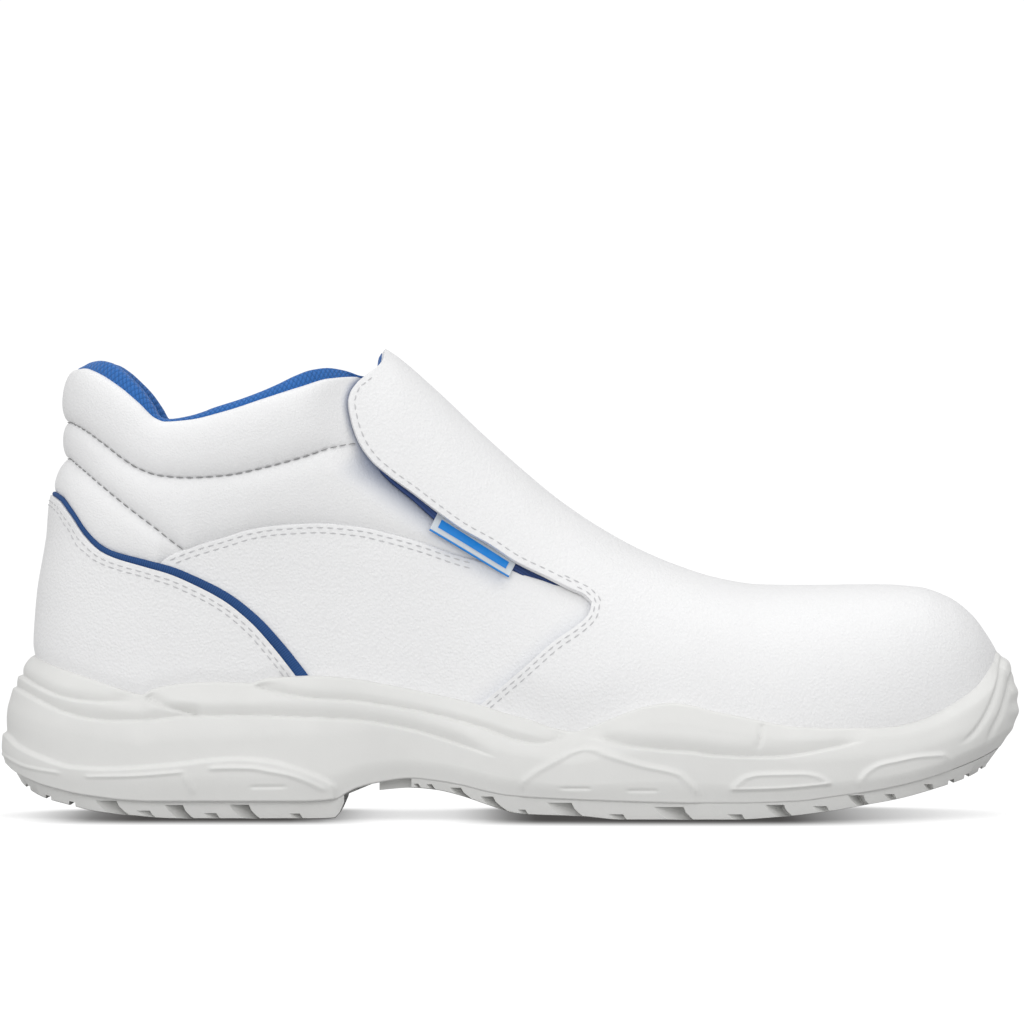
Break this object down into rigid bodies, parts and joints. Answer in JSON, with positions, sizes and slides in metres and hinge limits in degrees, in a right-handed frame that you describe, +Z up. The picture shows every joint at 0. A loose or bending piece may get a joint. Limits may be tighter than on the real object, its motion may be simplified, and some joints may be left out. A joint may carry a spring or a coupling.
{
  "type": "slip-on safety boot",
  "caption": "White slip-on ankle safety boot for the right foot, with padded roll collar, instep flap over elastic, heel overlay and sculpted cup sole with cleated tread.",
  "frame": {"origin": "floor level under the middle of the boot's bounding box", "axes": "+X from heel to toe, +Y to the inner side of the foot, +Z up; the outer side of this right boot faces -Y"},
  "size_m": [0.305, 0.1106, 0.1402],
  "materials": {
    "tread": "matt white moulded polyurethane",
    "cup_sole": "satin white moulded polyurethane",
    "footbed": "blue knitted cover on foam",
    "microfibre": "white microfibre with a fine grain",
    "soft_microfibre": "thin white microfibre over foam",
    "elastic": "navy woven elastic"
  },
  "bodies": {
    "root": {"outsole": "tread", "midsole": "cup_sole", "insole": "footbed", "upper": "microfibre", "padded_collar": "soft_microfibre", "heel_counter": "microfibre", "instep_flap": "microfibre", "elastic_gusset": "elastic"}
  },
  "joints": []
}
